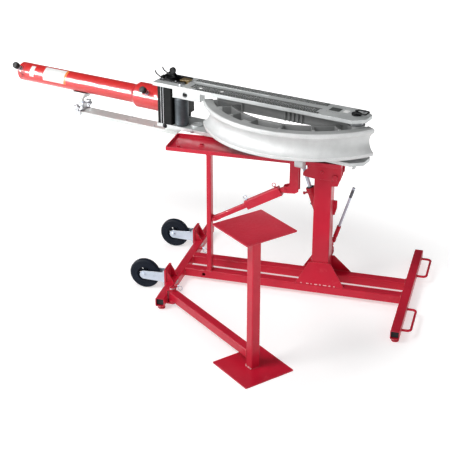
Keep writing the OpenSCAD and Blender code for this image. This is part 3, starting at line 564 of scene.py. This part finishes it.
# wheels: raised hub face and rim lines; forks: washers
for k, y in enumerate((-258, 300)):
    wb = ("near_wheel", "far_wheel")[k]
    for s in (-1, 1):
        lathe("wheel_hub_%d_%s" % (k, "a" if s < 0 else "b"), P(-829, y + s * 17.2, 90), (0, s, 0), [(44.5, 0), (46.5, 0.0), (47.2, 0.8), (46.5, 1.8), (44.5, 2.0), (43.8, 1.2), (43.8, 0.4), (44.5, 0)], "wheel_black", wb)
        bm = bmesh.new()
        for r in (64, 71):
            ring = [P(-829 + r * math.cos(a), y + s * 17.2, 90 + r * math.sin(a)) for a in [2 * math.pi * i / 72 for i in range(72)]]
            sweep_into(bm, ring, 0.9, 8, True)
        finish_mesh("wheel_rib_%d_%s" % (k, "a" if s < 0 else "b"), bm, "wheel_black", wb, True, 60)
        lathe("fork_washer_%d_%s" % (k, "a" if s < 0 else "b"), P(-829, y + s * 28.4, 90), (0, s, 0), [(6.2, 0), (13, 0), (13.5, 0.4), (13.5, 1.4), (13, 1.8), (9.8, 1.8)], "zinc_plate", "base")

# ---------------------------------------------------------------- stand
h = 25.5
weld("weld_column_foot", [[S(777 - h, -h, 7), S(777 + h, -h, 7), S(777 + h, h, 7), S(777 - h, h, 7), S(777 - h, -h, 7)]], "stand", 3.2)
weld("weld_column_head", [[S(777 - h, -h, 794), S(777 + h, -h, 794), S(777 + h, h, 794), S(777 - h, h, 794), S(777 - h, -h, 794)]], "stand", 3.0)
weld("weld_arm", [[S(751, -h, 50), S(751, -h, 98), S(751, -h + 3, 100.5), S(751, h - 3, 100.5), S(751, h, 98), S(751, h, 50)]], "stand", 3.0)
lathe("stand_hinge_cap", P(-606, -436, 118), (0, 0, 1), [(0, 2.2), (6, 2.0), (13, 1.0), (15.5, 0), (16.6, -1.6)], "base_red", "base")
weld("weld_hinge_tube", [[S(22 * math.cos(a), 22 * math.sin(a), z) for a in [math.radians(-50 + 5 * i) for i in range(21)]] for z in (52, 99)], "stand", 2.4)

# ---------------------------------------------------------------- table
weld("weld_hinge_bracket", [[P(60, s * 68, 805.5), P(255, s * 68, 805.5)] for s in (-1, 1)], "table", 2.6)

# heads of the cross bolts in the lower plate's front edge, and of the frame's long bolts
bolts("plate_edge_bolt_a", [F(-745, -29, 846)], -FN, 15, 6, "table", "black_steel")
bolts("plate_edge_bolt_b", [F(-560, -29, 846)], -FN, 13, 5, "table", "machined_steel")
capscrews("block_screws", [F(s, n, 1101) for s, n in ((-720, 143), (-640, -16), (-560, -16), (446, 118))], FZ, 6, 3, "table", "machined_steel")
capscrews("rail_screws", [F(s, n, 789.2) for s in (-1400, -1080, -880) for n in (56, 116)], FZ, 6, 5, "table", "machined_steel")
capscrews("spacer_screws", [F(-684, 143, 1101), F(-338, 153, 1101)], FZ, 4.2, 2, "table", "machined_steel")
# rivet heads on the strips coloured white: a painted highlight standing in for the glint on the heads
bm = bmesh.new()
for s, n in ((-520, 11), (-386, 20)):
    lathe_into(bm, F(s, n, 1102.2), FZ, [(0, 3.2), (6, 2.6), (10, 0.6), (10.5, 0)], 40)
finish_mesh("strip_rivets", bm, "white_film", "table", True, 60)

# printed films on top: a pale middle track, tick rows and blank fields, no characters
bm = bmesh.new()
zf = 1102.2
for s0, s1, n0, n1 in ((-585, 215, 0, 52), (-615, 230, 106, 150)):
    mid = (n0 + n1) / 2
    for a, b, c, d in ((s0 + 8, s1 - 8, mid - 6.5, mid - 5.5), (s0 + 8, s1 - 8, mid + 5.5, mid + 6.5), (s0 + 4, s1 - 4, n0 + 2.5, n0 + 3.3), (s0 + 4, s1 - 4, n1 - 3.3, n1 - 2.5)):
        prism(bm, [F(a, c, zf), F(b, c, zf), F(b, d, zf), F(a, d, zf)], FZ * 0.0002)
    k = 0
    s = s0 + 14
    while s < s1 - 14:
        big = k % 5 == 0
        for n, sg in ((mid - 6.5, -1), (mid + 6.5, 1)):
            ln = (10 if big else 5.5) * sg
            prism(bm, [F(s, n, zf), F(s + (1.3 if big else 0.8), n, zf), F(s + (1.3 if big else 0.8), n + ln, zf), F(s, n + ln, zf)], FZ * 0.0002)
        s += 7.2
        k += 1
finish_mesh("strip_ticks", bm, "white_film", "table", False)
bm = bmesh.new()
prism(bm, [F(-545, -22, 1101.0), F(236, -22, 1101.0), F(236, -1, 1101.0), F(-545, -1, 1101.0)], FZ * 0.0006)
prism(bm, [F(-590, 53, 1101.0), F(225, 53, 1101.0), F(225, 60, 1101.0), F(-590, 60, 1101.0)], FZ * 0.0006)
finish_mesh("strip_margins", bm, "dark_label", "table", False)
bm = bmesh.new()
for i in range(46):
    for n in (-17.5, -9.0):
        a = -538 + i * 16.8 + (5 if n < -10 else 0)
        prism(bm, [F(a, n, 1101.6), F(a + 4.5, n, 1101.6), F(a + 4.5, n + 2.2, 1101.6), F(a, n + 2.2, 1101.6)], FZ * 0.0002)
finish_mesh("margin_marks", bm, "grey_film", "table", False)
bm = bmesh.new()
for i in range(3):
    prism(bm, [F(270 + i * 17, 64, zf), F(282 + i * 17, 64, zf), F(282 + i * 17, 104, zf), F(270 + i * 17, 104, zf)], FZ * 0.0002)
for i in range(9):
    for n in (40, 124):
        prism(bm, [F(256 + i * 9, n, 1101.0), F(261 + i * 9, n, 1101.0), F(261 + i * 9, n + 2, 1101.0), F(256 + i * 9, n + 2, 1101.0)], FZ * 0.0002)
finish_mesh("blank_fields", bm, "dark_label", "table", False)
bm = bmesh.new()
prism(bm, [F(342, 66, 1101.0), F(372, 66, 1101.0), F(372, 104, 1101.0), F(342, 104, 1101.0)], FZ * 0.0003)
finish_mesh("blank_plate", bm, "white_film", "table", False)

# guide block: spring bar with two coils, cheeks beside the knob's stem, screw heads
bm = bmesh.new()
sweep_into(bm, [F(-794, 26, 1119.6), F(-794, 128, 1119.6)], 6.4, 28)
for n in (26, 124):
    lathe_into(bm, F(-794, n, 1119.6), FN, [(0, 0), (8.2, 0), (9.0, 0.8), (9.0, 4.2), (8.2, 5.0), (0, 5.0)], 32)
finish_mesh("spring_bar", bm, "black_anodised", "table", True, 40)
bm = bmesh.new()
for n0 in (34, 104):
    turns = [F(-794 + 8.4 * math.cos(a), n0 + a * 0.72, 1119.8 + 8.4 * math.sin(a)) for a in [i * math.pi / 9 for i in range(46)]]
    sweep_into(bm, turns, 1.7, 10)
finish_mesh("spring_coils", bm, "black_steel", "table", True, 60)
for k, n in enumerate((66, 89)):
    bm = bmesh.new()
    ring = [F(-776, n, 1112.5), F(-730, n, 1112.5), F(-730, n, 1118), F(-742, n, 1134), F(-747, n, 1137.5), F(-761, n, 1137.5), F(-766, n, 1134), F(-776, n, 1118)]
    prism(bm, ring, FN * 0.005)
    soften(finish_mesh("stem_cheek_%d" % k, bm, "black_anodised", "table", False), 0.0008)
bm = bmesh.new()
for s, n in ((-700, 27), (-790, 27), (-720, 125), (-790, 125)):
    lathe_into(bm, F(s, n, 1108.6), FZ, [(0, 0.8), (2.2, 0.8), (2.8, 3.4), (4.6, 3.4), (5.4, 2.6), (5.6, 0), (5.6, -0.6)], 32)
finish_mesh("guide_screws", bm, "machined_steel", "table", True, 40)

# black plug in the roller cheek's front recess: painted shade standing in for the dark inside of the recess
bm = bmesh.new()
ring = [(-618, 1051), (-615, 1049.5), (-591, 1049.5), (-588, 1051), (-588, 1065), (-591, 1066.5), (-615, 1066.5), (-618, 1065)]
prism(bm, [F(a, -28.8, b) for a, b in ring], FN * 0.004)
soften(finish_mesh("cheek_plug", bm, "black_steel", "table", False), 0.0006)
capscrews("cheek_screw", [F(-603, -28.6, 1058)], -FN, 6.5, 1.5, "table", "black_steel")

# bright steel strips in the two grooves of the ram block: a painted highlight standing in for the highlight stripes on
# the block's rounded edges
for k, ds in enumerate((26, 42)):
    bm = bmesh.new()
    prism(bm, [F(-798 + ds - 1.8, -26.6, 858), F(-798 + ds + 1.8, -26.6, 858), F(-798 + ds + 1.8, -24.0, 858), F(-798 + ds - 1.8, -24.0, 858)], FZ * 0.221)
    soften(finish_mesh("block_strip_%d" % k, bm, "machined_steel", "table", False), 0.0006)

# ---------------------------------------------------------------- ram
RN, RZ = 92, 958


def film(name, s0, s1, p0, p1, r, mat, cuts=None, t=0.35):
    """A thin printed film that wraps the barrel from angle p0 to p1, measured up from the front."""
    bm = bmesh.new()
    na = max(4, int(abs(p1 - p0) / 4))
    rows = []
    for rr in (r, r + t):
        rows.append([[bm.verts.new(F(s, RN - rr * math.cos(math.radians(p0 + (p1 - p0) * i / na)), RZ + rr * math.sin(math.radians(p0 + (p1 - p0) * i / na)))) for i in range(na + 1)] for s in (s0, s1)])
    (a0, a1), (b0, b1) = rows
    for i in range(na):
        bm.faces.new((b0[i], b0[i + 1], b1[i + 1], b1[i]))
        bm.faces.new((a0[i], a1[i], a1[i + 1], a0[i + 1]))
        bm.faces.new((a0[i], a0[i + 1], b0[i + 1], b0[i]))
        bm.faces.new((a1[i], b1[i], b1[i + 1], a1[i + 1]))
    bm.faces.new((a0[0], b0[0], b1[0], a1[0]))
    bm.faces.new((a0[na], a1[na], b1[na], b0[na]))
    return finish_mesh(name, bm, mat, "table", True, 50)


film("film_patch", -1795, -1763, -4, 68, 57.25, "white_film")
film("film_band", -1690, -1530, -12, 82, 57.05, "white_film")
film("film_band_edge", -1530, -1514, -12, 82, 57.05, "orange_film")
for i in range(4):
    film("film_rule_%d" % i, -1684, -1536, 62 - 17 * i, 62.8 - 17 * i, 57.35, "grey_film", t=0.12)

lathe("barrel_rear_bead", F(-1850, RN, RZ), FS, [(56.8, 0), (57.6, 1.0), (57.9, 3), (57.6, 5), (56.8, 6)], "weld_red", "table", seg=96)
lathe("barrel_front_bead", F(-1021, RN, RZ), FS, [(56.8, -4), (60.0, -3), (62.4, 0), (63.0, 2.2)], "weld_red", "table", seg=96)
lathe("collar_groove_ring", F(-862, RN, RZ), FS, [(75.9, 0), (76.7, 0.6), (76.9, 2), (76.7, 3.4), (75.9, 4)], "ram_red", "table", seg=128)
lathe("collar_end_ring", F(-806, RN, RZ), FS, [(75.9, 0), (77.2, 0.8), (77.6, 3), (77.2, 5.4), (75.9, 6)], "ram_red", "table", seg=128)
lathe("barrel_rear_plate", F(-1904, RN, RZ), -FS, [(0, 0.6), (10, 0.6), (11, 0), (30, 0), (31, 0.9), (34, 0.9), (35, 0), (36, -0.2)], "ram_red", "table", seg=96)
capscrews("gland_screws", [F(-1904.2, RN - 24 * math.cos(a), RZ + 24 * math.sin(a)) for a in [math.radians(30 + 60 * i) for i in range(6)]], -FS, 4, 3.2, "table", "black_steel")

cdir = (-FN * 0.819 + FZ * 0.574).normalized()
for tag, s, r0, body in (("rear", -1868, 57, "rear_cap"), ("front", -905, 76, "front_cap")):
    o = F(s, RN, RZ)
    # knurled sleeve on the coupler
    bm = bmesh.new()
    x, y, z = basis(cdir)
    for k in range(36):
        a = 2 * math.pi * k / 36
        c = o + z * (r0 + 26) * 0.001 + (x * math.cos(a) + y * math.sin(a)) * 0.01345
        sweep_into(bm, [c, c + z * 0.008], 0.75, 6)
    finish_mesh("coupler_knurl_" + tag, bm, "zinc_plate", "table", True, 60)
    lathe("coupler_seal_" + tag, o + z * (r0 + 13) * 0.001, cdir, [(11.0, 0), (12.6, 0.4), (13.2, 2), (12.6, 3.6), (11.0, 4)], "black_rubber", "table")
    # ribs round the dust cap
    bm = bmesh.new()
    for k in range(28):
        a = 2 * math.pi * k / 28
        c = o + z * (r0 + 41) * 0.001 + (x * math.cos(a) + y * math.sin(a)) * 0.0190
        sweep_into(bm, [c, c + z * 0.019], 1.0, 6)
    finish_mesh("cap_ribs_" + tag, bm, "black_steel", body, True, 60)
    lathe("cap_lip_" + tag, o + z * (r0 + 60.5) * 0.001, cdir, [(19.0, 0), (20.2, 0.6), (20.4, 2), (19.8, 3.2), (19.0, 3.6)], "black_steel", body)
    lathe("cap_face_" + tag, o + z * (r0 + 70) * 0.001, cdir, [(0, -0.6), (7, -0.6), (8, 0.3), (13, 0.3), (15, -0.4), (16.2, -2.0)], "black_steel", body)
    # loop of the tether under the cap
    ring = [o + z * (r0 + 40) * 0.001 + x * (math.cos(a) * 0.0145) + y * (math.sin(a) * 0.0145) for a in [2 * math.pi * i / 40 for i in range(40)]]
    tube("cap_tether_" + tag, ring, 1.4, "black_steel", body, 8, True)

# lanyard loop hanging beside the rear coupler
pts = []
for i in range(25):
    a = math.pi * i / 24
    pts.append(F(-1868 + 26 * math.sin(a), RN - 62 * math.cos(math.radians(22 - 44 * i / 24)) - 4, RZ + 62 * math.sin(math.radians(22 - 44 * i / 24)) - 2))
tube("rear_lanyard", pts, 1.3, "black_steel", "table", 8)

# rod wiper in the block
lathe("rod_wiper", F(-698, RN, RZ), FS, [(33.5, 0), (46, 0), (47, 0.6), (47, 3), (45, 4.4), (34.5, 4.4), (33.5, 3)], "black_rubber", "table", seg=72)

# ---------------------------------------------------------------- roller
bm = bmesh.new()
for z in (872, 884, 1003, 1015):
    lathe_into(bm, F(-652, 11, z), FZ, [(39.6, -1.6), (40.3, -1.0), (40.5, 0), (40.3, 1.0), (39.6, 1.6)], 96)
finish_mesh("roller_bands", bm, "dark_roller", "roller", True, 60)
lathe("roller_pin_cap", F(-652, 11, 1109), FZ, [(0, 1.2), (8, 1.2), (9, 0.2), (16, 0.2), (18, -0.6), (19.3, -2.2)], "machined_steel", "table")

# ---------------------------------------------------------------- lock pin
lathe("lock_pin_collar", F(425, 65, 1111), FZ, [(20.2, 0), (26, 0), (27.4, -0.8), (27.6, -3), (27.2, -9)], "black_anodised", "frame_lock_pin")
lathe("lock_pin_crown", F(425, 65, 1127), FZ, [(0, 0.0), (5, 0.0), (8.2, -0.8), (9.3, -2.2), (9.3, -5)], "black_anodised", "frame_lock_pin")

# ---------------------------------------------------------------- saddle and rail
lathe("saddle_nut", F(-1428, 86, 832), FZ, [(9.3, 0), (15, 0), (15.6, 0.8), (15.6, 6), (14.6, 7), (10, 7), (9.3, 6.4)], "zinc_plate", "rail_clamp")
for tag, n0, sg, body in (("front", 76, -1, "front_knob"), ("rear", 96, 1, "rear_knob")):
    ax = FN * sg
    lathe("knob_boss_" + tag, F(-1428, n0 + sg * 59, 815), ax, [(0, 1.6), (6, 1.6), (8, 0.8), (10.5, 0), (11, -0.8)], "machined_steel", body)

# ---------------------------------------------------------------- jack
zj = J(0, 0, 1) - J(0, 0, 0)
for k, (c, r) in enumerate(((62, 24), (92, 24), (368, 24))):
    lathe("jack_band_%d" % k, J(0, 0, c), zj, [(r - 0.1, 0), (r + 1.3, 0.5), (r + 1.6, 2.5), (r + 1.3, 4.5), (r - 0.1, 5)], "base_red", "jack")
lathe("jack_wiper", J(0, 0, 398), zj, [(11.5, 0), (19, 0), (20, 0.8), (20, 2.6), (18, 4.4), (12.2, 4.4), (11.5, 3)], "black_rubber", "jack")
xj = (J(1, 0, 0) - J(0, 0, 0)).normalized()
lathe("jack_fill_plug", J(-24, 0, 300), -xj, [(0, 5), (5, 5), (6, 4.2), (6.2, 1), (8.4, 0.8), (8.6, -1.6)], "black_rubber", "jack")
AL = math.radians(16.73)
LZ = Vector((math.sin(AL), 0, math.cos(AL)))
lever0 = P(199.5, 133, 255)
bm = bmesh.new()
for k in range(9):
    lathe_into(bm, lever0 + LZ * (0.292 + 0.0065 * k), LZ, [(7.9, 0), (9.0, 0.6), (9.0, 4.4), (7.9, 5)], 32)
finish_mesh("lever_grip_rings", bm, "black_rubber", "jack_handle", True, 30)

# ---------------------------------------------------------------- stage, light, camera
bm = bmesh.new()
bmesh.ops.create_grid(bm, x_segments=1, y_segments=1, size=300)
me = bpy.data.meshes.new("floor")
bm.to_mesh(me)
bm.free()
floor = bpy.data.objects.new("floor", me)
scene.collection.objects.link(floor)
floor.location = (0, 0, -0.0005)
fm = Mat("floor_pale")
fm.put("Base Color", fm.mix(fm.ramp(fm.noise(2, 3), 0.0, 1.0), (0.60, 0.60, 0.60, 1), (0.59, 0.59, 0.59, 1)))
fm.put("Roughness", 0.9)
fm.put("Emission Color", (1, 1, 1, 1))
away = fm.n("ShaderNodeVectorMath", operation="LENGTH")
fm.l(fm.co, away.inputs[0])
fm.put("Emission Strength", fm.ramp(away.outputs["Value"], 0.53, 0.98, 1.2, 2.4))
floor.data.materials.append(fm.m)
floor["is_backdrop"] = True

world = bpy.data.worlds.new("studio")
scene.world = world
world.use_nodes = True
wt = world.node_tree
bg = wt.nodes["Background"]
tc = wt.nodes.new("ShaderNodeTexCoord")
sep = wt.nodes.new("ShaderNodeSeparateXYZ")
wt.links.new(tc.outputs["Generated"], sep.inputs[0])
mr = wt.nodes.new("ShaderNodeMapRange")
mr.inputs["From Min"].default_value = -0.5
mr.inputs["From Max"].default_value = 0.55
mr.inputs["To Min"].default_value = 0.47
mr.inputs["To Max"].default_value = 0.08
wt.links.new(sep.outputs["Y"], mr.inputs["Value"])
wt.links.new(mr.outputs[0], bg.inputs["Strength"])
bg.inputs["Color"].default_value = (1, 1, 1, 1)


def area(name, loc, target, size, power, size_y=None):
    ld = bpy.data.lights.new(name, "AREA")
    ld.energy = power
    ld.shape = "RECTANGLE"
    ld.size = size
    ld.size_y = size_y or size
    lo = bpy.data.objects.new(name, ld)
    scene.collection.objects.link(lo)
    lo.location = loc
    lo.rotation_euler = (Vector(target) - Vector(loc)).to_track_quat("-Z", "Y").to_euler()
    lo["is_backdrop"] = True
    return lo


area("key", (-2.2, -3.0, 5.0), (0, 0, 0.5), 2.0, 215)
area("fill", (4.2, -2.5, 2.6), (0, 0, 0.6), 2.5, 16)
rim = area("rim", (-0.5, 3.6, 4.6), (0, 0, 0.7), 3.0, 60)
rim.visible_glossy = False

# two long strip boxes that draw the paired highlights along the ram
mid = F(-1460, RN, RZ)
towards = Vector((1.84319, -5.66855, 3.27470)) - mid
perp = (towards - FS * towards.dot(FS)).normalized()
for k, ang in enumerate((12.0, -9.5)):
    d = Matrix.Rotation(math.radians(ang), 3, FS) @ perp
    at = mid + d * 4.4 - FS * 3.3
    strip = area("strip_%d" % k, at, mid - FS * 3.3, 3.2, 560, 0.12)
    z = (at - (mid - FS * 3.3)).normalized()
    m3 = Matrix((FS, z.cross(FS), z)).transposed()
    strip.matrix_world = Matrix.Translation(at) @ m3.to_4x4()
    strip.visible_diffuse = False
    strip.visible_camera = False

cam_data = bpy.data.cameras.new("camera")
cam_data.sensor_width = 36.0
cam_data.lens = 93.7
cam_data.clip_end = 100
cam = bpy.data.objects.new("camera", cam_data)
scene.collection.objects.link(cam)
right = Vector((0.96243, 0.27155, 0.0))
up = Vector((-0.11714, 0.41515, 0.90220))
back = Vector((0.24499, -0.86830, 0.43136))
mw = Matrix.Identity(4)
for i, v in enumerate((right, up, back, Vector((1.84319, -5.66855, 3.27470)))):
    for j in range(3):
        mw[j][i] = v[j]
cam.matrix_world = mw
scene.camera = cam
scene.view_settings.view_transform = "Standard"
scene.view_settings.look = "None"

save_bounds("visual")
